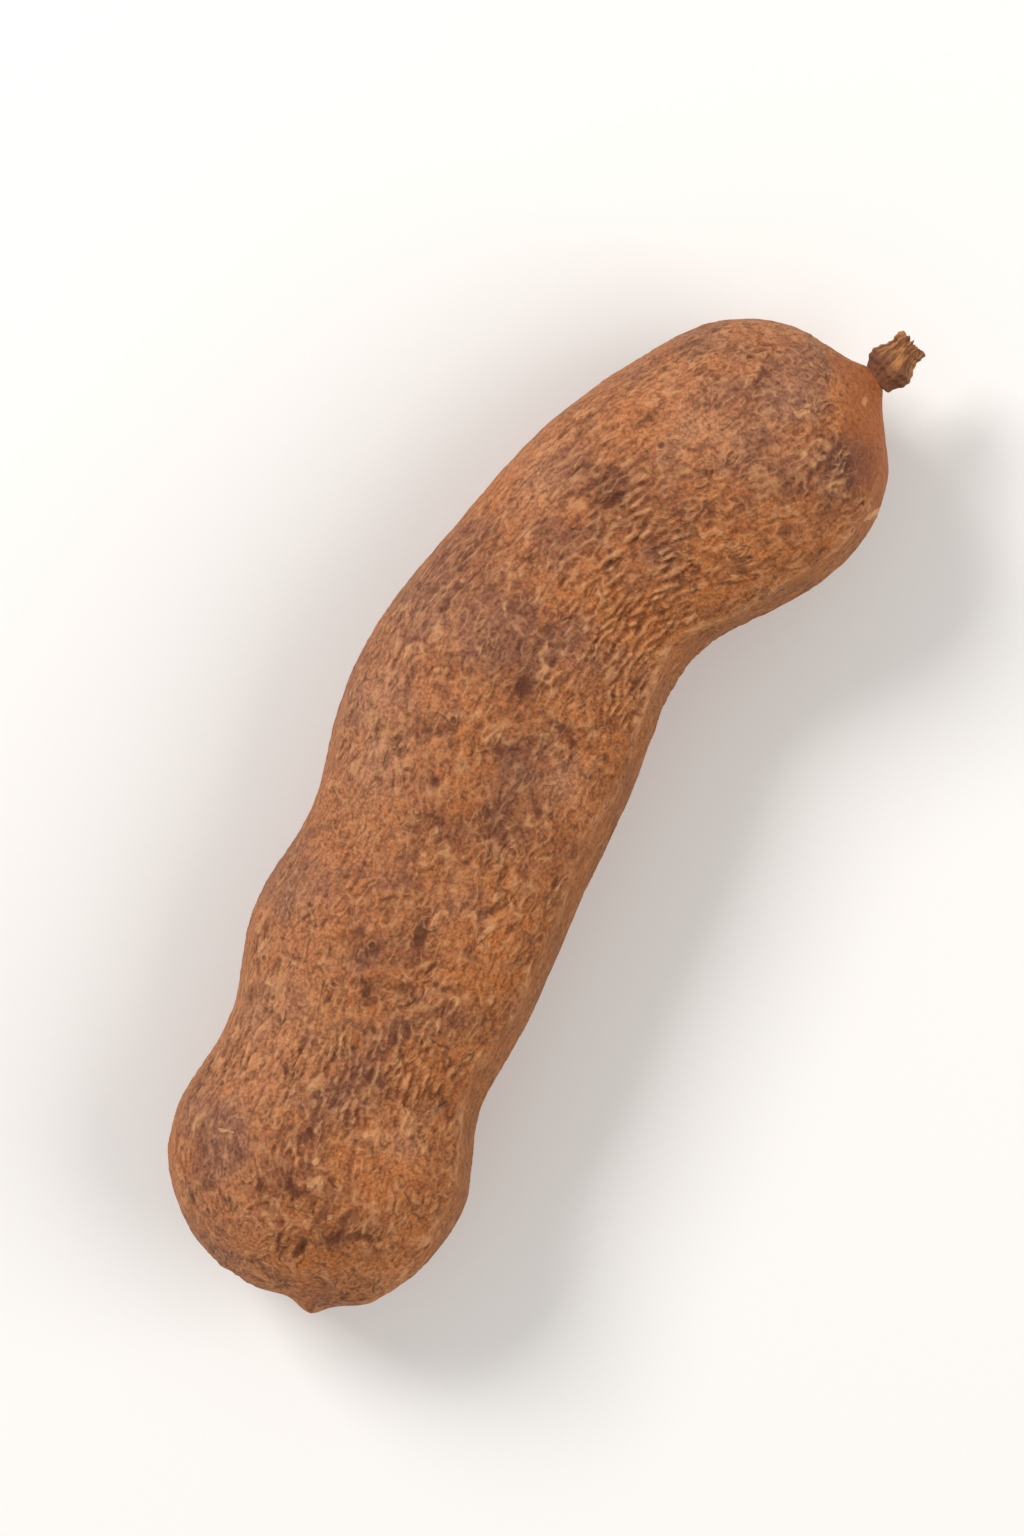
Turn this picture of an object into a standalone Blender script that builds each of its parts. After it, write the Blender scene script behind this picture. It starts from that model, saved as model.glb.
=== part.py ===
"""A whole tamarind pod lying on its side: the lumpy, bowed husk, and the short
woody stub of the stalk that it hung from. Metres, +Z up, +X from the beak
towards the stalk, +Y towards the outside of the bow."""

import math

import bmesh
import bpy
from mathutils import Matrix, Vector
from mathutils.geometry import interpolate_bezier

MM = 0.001

# The middle line of the husk seen from above, in millimetres from the beak's tip:
# a smooth curve through these points, which ends at the neck under the stalk.
MIDDLE_LINE = (
    (0.0, 0.0),
    (12.6, 6.6),
    (21.6, 8.1),
    (30.4, 10.1),
    (39.2, 10.4),
    (51.5, 12.9),
    (60.0, 13.6),
    (67.5, 13.1),
    (74.5, 11.8),
    (85.0, 6.4),
    (98.0, 0.0),
)
BEAK_TIP = (-51.1, -9.7)  # puts the middle of the pod's footprint over the origin
STEPS_A_SPAN = 24  # straight steps between two of the points above
RING_REACH = 9.0 * MM  # a section stands square to the line's run this far either way

# The husk swells over each seed and is pinched between two. Millimetres: X on the
# middle line, half the width and half the height there.
SWELLINGS = (
    (11.5, 14.2, 11.3),
    (21.4, 11.8, 10.3),
    (30.4, 13.8, 10.9),
    (39.6, 12.7, 10.5),
    (52.5, 14.0, 11.3),
    (69.0, 12.1, 10.4),
    (84.0, 13.0, 11.3),
)
SQUARENESS = 2.15  # 2 is an ellipse, and more fills out the corners of a section
WORN_FLAT = 0.2 * MM  # how far the lowest swellings are worn flat by the ground
LINE_HEIGHT = max(height for _, _, height in SWELLINGS) * MM - WORN_FLAT

# Each end is a round cap, out of which the beak or the neck stands.
CAP_LENGTH = 13.4 * MM
BEAK_HEIGHT = 1.1 * MM
BEAK_RADIUS = 3.0 * MM
NECK_HEIGHT = 0.9 * MM
NECK_RADIUS = 2.1 * MM
NUB_BLEND = 1.2 * MM  # how softly the beak and the neck run into their caps

CAGE_SIDES = 20
CAGE_RINGS = 34
SMOOTHING_LEVELS = 1
CAGE_PROUD = 1.012  # the smoothing draws the cage in by about as much

# The stub of the stalk, turned about its own axis: the broken end, the shank and a
# collar. Each point is a radius and a height over the neck, in millimetres.
STUB_PROFILE = (
    (0.0, 3.9),
    (0.8, 4.0),
    (1.4, 4.3),
    (1.65, 4.0),
    (1.5, 3.3),
    (1.75, 2.7),
    (2.15, 1.9),
    (2.1, 1.1),
    (1.7, 0.4),
    (1.4, 0.0),
    (0.0, 0.0),
)
STUB_SIDES = 24
STUB_RISE = math.radians(4)  # the stub points up a little
STUB_TURN = math.radians(12)  # and towards the outside of the bow
FIT_GAP = 0.3 * MM  # between the stub and the neck

HUSK_COLOUR = (0.32, 0.125, 0.052, 1.0)
HUSK_ROUGHNESS = 0.75
STUB_COLOUR = (0.42, 0.22, 0.08, 1.0)
STUB_ROUGHNESS = 0.8


def clear_scene():
    for obj in list(bpy.data.objects):
        bpy.data.objects.remove(obj, do_unlink=True)


def new_collection(name):
    collection = bpy.data.collections.new(name)
    bpy.context.scene.collection.children.link(collection)
    return collection


def new_material(name, colour, roughness):
    material = bpy.data.materials.new(name)
    material.use_nodes = True
    shader = material.node_tree.nodes["Principled BSDF"]
    shader.inputs["Base Color"].default_value = colour
    shader.inputs["Roughness"].default_value = roughness
    shader.inputs["Metallic"].default_value = 0.0
    return material


def new_object(name, shape, collection, material=None):
    """An object of that name, whose mesh is the bmesh given, which is freed."""
    mesh = bpy.data.meshes.new(name)
    shape.to_mesh(mesh)
    shape.free()
    mesh.shade_smooth()
    obj = bpy.data.objects.new(name, mesh)
    collection.objects.link(obj)
    if material:
        mesh.materials.append(material)
    return obj


def middle_line():
    """Points along the smooth line through MIDDLE_LINE, and their distances along it."""
    knots = [
        Vector((BEAK_TIP[0] + x, BEAK_TIP[1] + y, 0)) * MM + Vector((0, 0, LINE_HEIGHT))
        for x, y in MIDDLE_LINE
    ]
    padded = [knots[0]] + knots + [knots[-1]]
    headings = [(b - a).normalized() for a, b in zip(padded, padded[2:])]
    points = [knots[0]]
    for i in range(len(knots) - 1):
        start, end = knots[i], knots[i + 1]
        pull = (end - start).length / 3
        handles = start + headings[i] * pull, end - headings[i + 1] * pull
        points += interpolate_bezier(start, *handles, end, STEPS_A_SPAN + 1)[1:]
    distances = [0.0]
    for a, b in zip(points, points[1:]):
        distances.append(distances[-1] + (b - a).length)
    return points, distances


LINE_POINTS, LINE_DISTANCES = middle_line()
LINE_LENGTH = LINE_DISTANCES[-1]


def on_line(distance):
    """The point of the middle line at a distance from the beak."""
    distance = min(max(distance, 0.0), LINE_LENGTH)
    i = min(sum(d <= distance for d in LINE_DISTANCES), len(LINE_POINTS) - 1) - 1
    share = (distance - LINE_DISTANCES[i]) / (LINE_DISTANCES[i + 1] - LINE_DISTANCES[i])
    return LINE_POINTS[i].lerp(LINE_POINTS[i + 1], share)


def run_of_line(distance):
    """The middle line's direction round there, towards the stalk."""
    ahead = on_line(distance + RING_REACH)
    return (ahead - on_line(distance - RING_REACH)).normalized()


def half_sizes(x):
    """Half the width and half the height, eased from each swelling to the next pinch."""
    from_beak = x / MM - BEAK_TIP[0]
    if from_beak <= SWELLINGS[0][0]:
        return SWELLINGS[0][1] * MM, SWELLINGS[0][2] * MM
    for (x_a, width_a, height_a), (x_b, width_b, height_b) in zip(SWELLINGS, SWELLINGS[1:]):
        if from_beak <= x_b:
            eased = (1 - math.cos(math.pi * (from_beak - x_a) / (x_b - x_a))) / 2
            width = width_a + (width_b - width_a) * eased
            return width * MM, (height_a + (height_b - height_a) * eased) * MM
    return SWELLINGS[-1][1] * MM, SWELLINGS[-1][2] * MM


def rounded(depth, length):
    """0 at the tip of a round cap of that length, rising to 1 where the cap ends."""
    inward = 1 - min(max(depth / length, 0.0), 1.0)
    return math.sqrt(1 - inward * inward)


def soft_max(a, b, blend):
    """The larger of two radii, with the crease between them filled in."""
    overlap = max(blend - abs(a - b), 0.0) / blend
    return max(a, b) + overlap * overlap * blend / 4


def husk_radius(along, angle):
    """From the middle line to the husk, at a distance along the line and an angle round it."""
    half_width, half_height = half_sizes(on_line(along).x)
    across = abs(math.cos(angle)) / half_width
    up = abs(math.sin(angle)) / half_height
    section = (across**SQUARENESS + up**SQUARENESS) ** (-1 / SQUARENESS)
    to_end = LINE_LENGTH - along
    cap = rounded(along - BEAK_HEIGHT, CAP_LENGTH) * rounded(to_end - NECK_HEIGHT, CAP_LENGTH)
    if along < to_end:
        nub = BEAK_RADIUS * rounded(along, 3 * BEAK_HEIGHT)
    else:
        nub = NECK_RADIUS * rounded(to_end, NECK_HEIGHT)
    return soft_max(section * cap, nub, min(NUB_BLEND, nub)) if nub else 0.0


def make_husk(collection, cutters, material):
    """A UV sphere wrapped round the middle line, with its poles at the beak and the neck."""
    cage = bmesh.new()
    bmesh.ops.create_uvsphere(cage, u_segments=CAGE_SIDES, v_segments=CAGE_RINGS, radius=1)
    for vertex in cage.verts:
        x, y, z = vertex.co
        along = min(max((1 - z) / 2, 0), 1) * LINE_LENGTH
        angle = math.atan2(y, x)
        run = run_of_line(along)
        outward = Vector((-run.y, run.x, 0)) * math.cos(angle)
        upward = Vector((0, 0, math.sin(angle)))
        radius = husk_radius(along, angle) * CAGE_PROUD
        vertex.co = on_line(along) + (outward + upward) * radius
    bmesh.ops.recalc_face_normals(cage, faces=cage.faces)
    husk = new_object("pod_husk", cage, collection, material)
    smooth = husk.modifiers.new("smooth", "SUBSURF")
    smooth.levels = smooth.render_levels = SMOOTHING_LEVELS
    wear = husk.modifiers.new("worn_flats", "BOOLEAN")
    wear.operation = "DIFFERENCE"
    wear.object = make_ground_cutter(cutters)
    return husk


def make_ground_cutter(cutters):
    """A block whose top is the ground, wider than the pod."""
    depth = 10 * MM
    size = Matrix.Diagonal((2 * LINE_LENGTH, LINE_LENGTH, depth, 1))
    place = Matrix.Translation((0, 0, -depth / 2))
    block = bmesh.new()
    bmesh.ops.create_cube(block, size=1, matrix=place @ size)
    cutter = new_object("ground_cutter", block, cutters)
    cutter.hide_render = True
    cutter.display_type = "WIRE"
    return cutter


def make_stub(collection, material):
    """The stub, turned about Z and then pointed onwards from the neck."""
    profile = bmesh.new()
    points = [profile.verts.new((radius * MM, 0, z * MM)) for radius, z in STUB_PROFILE]
    for a, b in zip(points, points[1:]):
        profile.edges.new((a, b))
    stub = new_object("stalk_stub", profile, collection, material)
    turn = stub.modifiers.new("turned", "SCREW")
    turn.steps = turn.render_steps = STUB_SIDES
    turn.use_merge_vertices = True
    turn.merge_threshold = 0.01 * MM
    run = run_of_line(LINE_LENGTH)
    level = Matrix.Rotation(STUB_TURN, 3, "Z") @ run
    pointing = level * math.cos(STUB_RISE) + Vector((0, 0, math.sin(STUB_RISE)))
    stub.location = on_line(LINE_LENGTH) + run * FIT_GAP
    stub.rotation_mode = "QUATERNION"
    stub.rotation_quaternion = pointing.to_track_quat("Z", "Y")
    return stub


def main():
    clear_scene()
    collection = new_collection("tamarind_pod")
    cutters = new_collection("cutters")
    make_husk(collection, cutters, new_material("husk_brown", HUSK_COLOUR, HUSK_ROUGHNESS))
    make_stub(collection, new_material("stub_wood", STUB_COLOUR, STUB_ROUGHNESS))


main()
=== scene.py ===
"""The looks of a whole tamarind pod lying on its side. Metres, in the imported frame:
+Z up, +X from the beak towards the stalk, +Y towards the outside of the bow."""
import math
from collections import Counter

import bpy
import numpy as np
from mathutils import Matrix, Vector
from mathutils.bvhtree import BVHTree


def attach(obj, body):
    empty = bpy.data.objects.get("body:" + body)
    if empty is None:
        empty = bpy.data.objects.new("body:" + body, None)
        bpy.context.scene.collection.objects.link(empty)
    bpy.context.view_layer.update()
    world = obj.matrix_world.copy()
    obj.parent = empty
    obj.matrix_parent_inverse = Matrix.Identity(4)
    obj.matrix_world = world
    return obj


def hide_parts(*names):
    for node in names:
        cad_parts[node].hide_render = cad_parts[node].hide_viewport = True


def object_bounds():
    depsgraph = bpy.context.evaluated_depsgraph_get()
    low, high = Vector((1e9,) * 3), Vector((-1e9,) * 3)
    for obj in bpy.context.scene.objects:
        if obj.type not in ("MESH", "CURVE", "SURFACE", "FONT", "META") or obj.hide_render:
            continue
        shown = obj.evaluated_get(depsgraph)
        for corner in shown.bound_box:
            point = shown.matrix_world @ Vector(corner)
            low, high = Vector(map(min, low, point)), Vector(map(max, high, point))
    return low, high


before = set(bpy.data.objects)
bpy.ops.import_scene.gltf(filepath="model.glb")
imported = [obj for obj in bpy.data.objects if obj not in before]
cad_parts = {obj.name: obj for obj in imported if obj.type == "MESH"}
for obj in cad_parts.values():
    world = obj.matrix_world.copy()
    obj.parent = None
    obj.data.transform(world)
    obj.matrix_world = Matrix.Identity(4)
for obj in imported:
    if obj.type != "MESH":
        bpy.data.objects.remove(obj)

CAD_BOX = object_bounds()
MM = 0.001


# ---------------------------------------------------------------- writing nodes


class Wire:
    """What comes out of a node's socket. Maths on it adds Math or Vector Math nodes."""

    def __init__(self, tree, socket):
        self.tree = tree
        self.socket = socket

    def is_vector(self):
        """True for a vector or a colour, False for a number."""
        return self.socket.type in ("VECTOR", "RGBA")

    def maths(self, operation, first, second=None):
        """One Math or Vector Math node on the values given."""
        given = [first] if second is None else [first, second]
        vectors = [isinstance(v, tuple) or (isinstance(v, Wire) and v.is_vector()) for v in given]
        if not any(vectors):
            sockets = dict(enumerate(given))
            return self.tree.node("ShaderNodeMath", {"operation": operation}, sockets)
        if operation == "MULTIPLY" and not all(vectors):
            flat, number = (first, second) if vectors[0] else (second, first)
            sockets = {"Vector": flat, "Scale": number}
            return self.tree.node("ShaderNodeVectorMath", {"operation": "SCALE"}, sockets)
        sockets = dict(enumerate(given))
        return self.tree.node("ShaderNodeVectorMath", {"operation": operation}, sockets)

    def __add__(self, other):
        return self.maths("ADD", self, other)

    def __radd__(self, other):
        return self.maths("ADD", other, self)

    def __sub__(self, other):
        return self.maths("SUBTRACT", self, other)

    def __rsub__(self, other):
        return self.maths("SUBTRACT", other, self)

    def __mul__(self, other):
        return self.maths("MULTIPLY", self, other)

    def __rmul__(self, other):
        return self.maths("MULTIPLY", other, self)

    def __truediv__(self, other):
        return self.maths("DIVIDE", self, other)

    def __rtruediv__(self, other):
        return self.maths("DIVIDE", other, self)

    def __abs__(self):
        return self.maths("ABSOLUTE", self)

    def sine(self):
        return self.maths("SINE", self)

    def lesser(self, other):
        """The lower of the two."""
        return self.maths("MINIMUM", self, other)

    def greater(self, other):
        """The higher of the two."""
        return self.maths("MAXIMUM", self, other)

    def eased(self, low, high):
        """0 up to low, 1 from high on, and a smooth step between. High may be the lower."""
        if low > high:
            return 1 - self.eased(high, low)
        sockets = {"Value": self, "From Min": low, "From Max": high}
        return self.tree.node("ShaderNodeMapRange", {"interpolation_type": "SMOOTHSTEP"}, sockets)


class Tree:
    """A node tree that is being written."""

    def __init__(self, tree):
        self.tree = tree

    def node(self, kind, settings=None, sockets=None, out=0):
        """A node of that type. Its settings come first, then its sockets' values or wires,
        by their name, identifier or number. Gives the wire from its output out."""
        made = self.tree.nodes.new(kind)
        for name, value in (settings or {}).items():
            setattr(made, name, value)
        for name, value in (sockets or {}).items():
            socket = self.find(made.inputs, name)
            if isinstance(value, Wire):
                self.tree.links.new(value.socket, socket)
            else:
                socket.default_value = value
        if not made.outputs:
            return None
        return Wire(self, self.find(made.outputs, out))

    @staticmethod
    def find(sockets, name):
        """The socket in use with that name, identifier or number."""
        live = [s for s in sockets if s.enabled]
        if isinstance(name, int):
            return live[name]
        return next(s for s in live if name in (s.name, s.identifier))

    def mix(self, factor, a, b):
        """Colour a turning into colour b as factor goes from 0 to 1."""
        sockets = {"Factor": factor, "A": a, "B": b}
        return self.node("ShaderNodeMix", {"data_type": "RGBA"}, sockets)

    def noise(self, place, size, detail=0.0, roughness=0.5, out="Fac"):
        """Soft noise around 0.5, whose lumps are that size on place."""
        sockets = {"Vector": place, "Scale": 1 / size, "Detail": detail, "Roughness": roughness}
        return self.node("ShaderNodeTexNoise", {}, sockets, out)


def paint(red, green, blue):
    """A colour as a paint chart gives it, 0 to 255, for a shader."""
    return tuple(
        (c / 255 / 12.92 if c <= 10 else ((c / 255 + 0.055) / 1.055) ** 2.4)
        for c in (red, green, blue)
    ) + (1.0,)


# ------------------------------------------------------- shared skin patterns


STRAY = 2.4  # times soft noise's distance from 0.5 is about 1 at the most


def crooked(tree, place, size, reach, start):
    """place pushed about by soft noise of that size, up to about reach either way."""
    push = tree.noise(place + (start, 2 * start, 3 * start), size, detail=1.0, out="Color")
    return place + (push - (0.5, 0.5, 0.5)) * (STRAY * reach)


def worms(tree, place, across, apart, alike, start):
    """Short crooked ridges that far apart, side by side: -0.5 in the creases and 0.5 on the
    crests. The more alike, the more of them lie square to across."""
    waves = 1.35  # in each cell of the pattern
    sockets = {
        "Vector": crooked(tree, place, size=2.6, reach=0.5, start=start) + (start, 0, start),
        "Scale": 1 / (waves * apart),
        "Frequency": waves,
        "Anisotropy": alike,
        "Orientation": across,
    }
    wave = tree.node("ShaderNodeTexGabor", {"gabor_type": "3D"}, sockets, "Value")
    return wave.eased(0.34, 0.66) - 0.5


def curls(tree, place, length, width, breadth, sparse, start):
    """Curled edges of lifted skin: a crest, and the crease that lies beside it. The more
    sparse, the fewer."""
    bent = crooked(tree, place, size=1.9, reach=0.8, start=start)
    drawn_out = bent * (1 / length, 1 / width, 1 / width)
    level = tree.noise(drawn_out + (start, start, start), size=1.0, detail=0.4) - 0.5
    patches = tree.noise(place + (2 * start, 0, start), size=1.4 * length, detail=1.0)
    kept = patches.eased(sparse, sparse + 0.16)
    crest = abs(level - breadth).eased(breadth, 0.1 * breadth) * kept
    crease = abs(level + breadth).eased(breadth, 0.1 * breadth) * kept
    return crest, crease


def whorls(tree, place, size, turns, start):
    """Lines that wind round each other as on a fingertip: a crest, and a crease beside it."""
    bent = crooked(tree, place * (0.55, 1.0, 1.0), size=2.4, reach=0.4, start=start)
    wave = (tree.noise(bent, size, detail=0.6) * (turns * 2 * math.pi)).sine()
    kept = tree.noise(place + (start, start, 0), size=1.7, detail=1.0).eased(0.36, 0.58)
    return wave.eased(0.3, 1.0) * kept, wave.eased(-0.3, -1.0) * kept


def pits(tree, place, apart, breadth):
    """Scattered small pits: 1 in a pit, and 1 on its rim."""
    settings = {"feature": "F1"}
    sockets = {"Vector": place, "Scale": 1 / apart}
    distance = tree.node("ShaderNodeTexVoronoi", settings, sockets, "Distance") * apart
    pick = tree.node("ShaderNodeTexVoronoi", settings, sockets, "Color")
    chosen = tree.node("ShaderNodeSeparateColor", {}, {"Color": pick}, "Red").eased(0.78, 0.82)
    hole = distance.eased(breadth, 0.4 * breadth) * chosen
    rim = abs(distance - 1.3 * breadth).eased(0.5 * breadth, 0.0) * chosen
    return hole, rim


# ------------------------------------------------------------------- the husk

SIDES = 320  # corners round each ring
CAP_RINGS = 48  # from a pole to the end of its cap
RINGS = 300  # from pole to pole
TOP_SHARE = 0.2  # how much closer together the sides are on the top, and wider beneath
CAP_REACH = 12 * MM  # from a pole to where its cap's rays start
HEADING_REACH = 9 * MM  # ahead and behind, for the way that the pod runs
FACET_BLUR = 0.9 * MM  # smooths away the flat facets of the CAD husk
HUSK_RADIUS = 12.5 * MM  # about, for the step from side to side
LINE_STATIONS = 90  # along the pod's middle line
LINE_LOOK = 7  # stations ahead and behind, for the way that the line runs
OUT_OF_HUSK = 0.2  # metres, a start for rays that come in from outside


def cad_corners(node):
    """The corners of a CAD node's loose triangles."""
    return [v.co.copy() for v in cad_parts[node].data.vertices]


def cad_surface(node):
    """A CAD node's surface, for rays to hit."""
    faces = [tuple(p.vertices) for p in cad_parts[node].data.polygons]
    return BVHTree.FromPolygons(cad_corners(node), faces)


HUSK_CORNERS = cad_corners("pod_husk")
HUSK_SURFACE = cad_surface("pod_husk")
STUB_CORNERS = cad_corners("stalk_stub")


def meeting_places(corners, count):
    """The places where the most facets meet, which are the poles of a turned shape."""
    shared = Counter(tuple(round(x / MM, 3) for x in corner) for corner in corners)
    return [Vector(place) * MM for place, _ in shared.most_common(count)]


BEAK, NECK = sorted(meeting_places(HUSK_CORNERS, 2), key=lambda corner: corner.x)


def halfway(point, direction):
    """Halfway through the husk along a line through point."""
    far = direction * OUT_OF_HUSK
    entry = HUSK_SURFACE.ray_cast(point - far, direction)[0]
    leaving = HUSK_SURFACE.ray_cast(point + far, -direction)[0]
    return point if entry is None or leaving is None else (entry + leaving) / 2


def relaxed(points, times):
    """The same polyline with its kinks eased and its ends kept."""
    for _ in range(times):
        points = points.copy()
        points[1:-1] = (points[:-2] + 2 * points[1:-1] + points[2:]) / 4
    return points


def middle_line():
    """The line down the middle of the husk, from the beak to the neck."""
    shares = np.linspace(0, 1, LINE_STATIONS)[:, None]
    line = np.array(BEAK) * (1 - shares) + np.array(NECK) * shares
    line[:, 2] = BEAK.z
    for i in range(1, LINE_STATIONS - 1):
        line[i] = halfway(Vector(line[i]), Vector((0, 1, 0)))
    line = relaxed(line, 60)
    for _ in range(4):
        ahead = line[np.minimum(np.arange(LINE_STATIONS) + LINE_LOOK, LINE_STATIONS - 1)]
        behind = line[np.maximum(np.arange(LINE_STATIONS) - LINE_LOOK, 0)]
        for i in range(LINE_LOOK + 1, LINE_STATIONS - LINE_LOOK - 1):
            run = Vector(ahead[i] - behind[i]).normalized()
            line[i] = halfway(Vector(line[i]), Vector((-run.y, run.x, 0)))
        line = relaxed(line, 30)
    return line


LINE = middle_line()
DISTANCES = np.concatenate([[0], np.cumsum(np.linalg.norm(np.diff(LINE, axis=0), axis=1))])
LINE_LENGTH = DISTANCES[-1]


def on_line(distance):
    """The place that far along the middle line."""
    return np.array([np.interp(distance, DISTANCES, LINE[:, k]) for k in range(3)])


def heading(distance):
    """The way that the pod runs there."""
    ahead = on_line(min(distance + HEADING_REACH, LINE_LENGTH))
    run = ahead - on_line(max(distance - HEADING_REACH, 0.0))
    return run / np.linalg.norm(run)


def blurred(grid, along, around):
    """A ring-by-side grid smoothed by a bell curve, round each ring and over the poles."""
    half = grid.shape[1] // 2
    reach = int(3 * max(along, around))
    over_beak = np.roll(grid[1 : reach + 1][::-1], half, axis=1)
    over_neck = np.roll(grid[-reach - 1 : -1][::-1], half, axis=1)
    tall = np.concatenate([over_beak, grid, over_neck])
    steps = np.arange(-reach, reach + 1)
    for axis, width in enumerate((along, around)):
        weights = np.exp(-0.5 * (steps / width) ** 2)
        weights /= weights.sum()
        tall = sum(w * np.roll(tall, k, axis=axis) for w, k in zip(weights, steps))
    return tall[reach:-reach]


def husk_grid():
    """For each ring and side: where its ray starts, its direction, how far out the husk
    is, how far along the pod the start is, and the share of the ray that runs along."""
    starts = np.zeros((RINGS, SIDES, 3))
    rays = np.zeros((RINGS, SIDES, 3))
    reaches = np.zeros((RINGS, SIDES))
    stations = np.zeros((RINGS, SIDES))
    lengthwise = np.zeros((RINGS, SIDES))
    turns = np.arange(SIDES) / SIDES * 2 * math.pi
    angles = turns + TOP_SHARE * np.cos(turns)
    middle_rings = RINGS - 2 * CAP_RINGS
    for i in range(RINGS):
        if i < CAP_RINGS:
            station, lean = CAP_REACH, math.pi / 2 * (1 - i / CAP_RINGS)
            lengthwise[i] = -math.sin(lean)
        elif i >= RINGS - CAP_RINGS:
            inward = (i - (RINGS - CAP_RINGS) + 1) / CAP_RINGS
            station, lean = LINE_LENGTH - CAP_REACH, math.pi / 2 * inward
            lengthwise[i] = math.sin(lean)
        else:
            share = (i - CAP_RINGS) / middle_rings
            station, lean = CAP_REACH + (LINE_LENGTH - 2 * CAP_REACH) * share, 0.0
        start, run = on_line(station), heading(station)
        side = np.array([-run[1], run[0], 0.0])
        for j, angle in enumerate(angles):
            out = side * math.cos(angle) + np.array([0, 0, 1.0]) * math.sin(angle)
            ray = out * math.cos(lean) + run * lengthwise[i, j]
            hit = HUSK_SURFACE.ray_cast(Vector(start), Vector(ray))
            starts[i, j], rays[i, j] = start, ray
            reaches[i, j] = hit[3]
            stations[i, j] = station
    return starts, rays, reaches, stations, lengthwise, np.broadcast_to(angles, (RINGS, SIDES))


def bell(distance, width):
    """1 at no distance, falling smoothly to nothing."""
    return np.exp(-((distance / width) ** 2))


# Places on the husk seen from above, in millimetres from the beak's tip.
CHIN_AND_HOLLOW = (  # beside the beak: X, Y, reach, height
    (3.4, -4.0, 2.8, 1.1),
    (7.5, -6.4, 3.2, 0.6),
    (0.4, 2.6, 1.5, -0.4),
)
DENTS = (  # slow unevenness of the top and the flanks: X, Y, reach, height
    (24.0, 14.0, 4.0, -0.35),
    (15.0, 12.0, 5.0, 0.25),
    (33.0, 17.0, 5.0, 0.25),
    (44.0, 8.0, 6.0, -0.25),
    (57.0, 19.0, 6.0, 0.2),
    (66.0, 5.0, 4.0, -0.5),
    (72.0, 15.0, 5.0, -0.2),
    (82.0, 6.0, 7.0, 0.25),
)
FOLD = (  # the crest of the fold near the stalk, a string of small swellings
    (80.9, -2.9, 0.6, 0.14),
    (81.4, -3.1, 0.6, 0.18),
    (81.9, -3.3, 0.6, 0.2),
    (82.4, -3.6, 0.6, 0.2),
    (82.9, -3.9, 0.6, 0.2),
    (83.4, -4.1, 0.6, 0.14),
)
RUFFLED_PLACES = (  # where the skin is gathered into long wrinkles: X, Y, reach, strength
    (68.0, 7.0, 6.5, 1.0),
    (62.0, 4.0, 5.0, 0.6),
    (75.0, 11.0, 5.0, 0.7),
    (78.0, 19.0, 6.0, 0.4),
    (66.0, 19.0, 6.0, 0.3),
    (23.5, 1.8, 5.0, 0.9),
    (20.3, 10.7, 5.0, 0.8),
    (17.3, 17.2, 4.0, 0.6),
    (12.0, 7.0, 7.0, 0.45),
    (43.0, 4.0, 4.0, 0.3),
    (33.0, 0.0, 4.0, 0.3),
)
GREY_PLACES = (  # where grey scurf still covers the husk, one of them partly a painted sheen: X, Y, reach, strength
    # grey scurf, partly a painted sheen on the dome
    (92.0, 5.8, 3.0, 1.0),
    (89.5, -1.5, 2.6, 0.9),
    (59.0, 24.0, 3.5, 0.8),
    (31.0, 21.0, 3.0, 0.6),
    (62.0, 19.5, 4.0, 0.7),
    (50.0, 23.0, 4.0, 0.6),
    (51.5, 9.5, 3.0, 0.8),
    (62.0, 11.0, 3.0, 0.5),
    (9.0, 14.5, 3.0, 0.6),
    (10.5, 16.0, 2.2, 0.8),
)
DARK_PLACES = (  # where the skin is stained brown, and one painted shade below the fold: X, Y, reach, strength
    (7.2, 1.4, 1.6, 0.9),
    (9.5, 8.3, 1.8, 0.8),
    (14.5, 8.0, 2.2, 0.5),
    (25.0, 6.8, 1.6, 0.7),
    (28.0, 10.0, 1.8, 0.7),
    (33.0, 9.3, 2.0, 0.8),
    (29.0, 2.6, 2.0, 0.5),
    (43.0, 11.0, 3.0, 0.7),
    (46.5, 8.6, 2.4, 0.8),
    (52.0, 10.0, 2.6, 0.9),
    (58.0, 13.0, 2.0, 1.0),
    (64.5, 21.5, 3.0, 0.6),
    (77.0, 14.3, 2.8, 0.9),
    (75.0, 9.5, 2.4, 0.5),
    (89.6, -1.6, 2.0, 1.8),
    # painted shade below the fold
    (86.5, -3.0, 2.0, 0.7),
    (61.0, 15.0, 2.0, 0.4),
)
RUSTY_PLACES = (  # where the scurf has rubbed off the orange skin: X, Y, reach, strength
    (94.5, -0.6, 2.6, 1.2),
    (68.0, 5.0, 3.4, 0.9),
    (67.0, 10.0, 2.4, 0.6),
    (72.0, 23.4, 3.4, 0.9),
    (76.0, 2.4, 3.0, 0.8),
    (57.0, 3.6, 3.4, 0.7),
    (45.0, 4.0, 4.0, 0.4),
    (36.0, 3.6, 3.4, 0.5),
    (4.0, 3.0, 3.0, 0.8),
    (6.0, 18.0, 2.4, 0.8),
    (13.5, 1.0, 3.4, 0.7),
    (33.0, 14.5, 3.0, 0.6),
    (82.0, 17.0, 4.0, 0.6),
    (48.0, 15.5, 3.0, 0.4),
)
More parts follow.
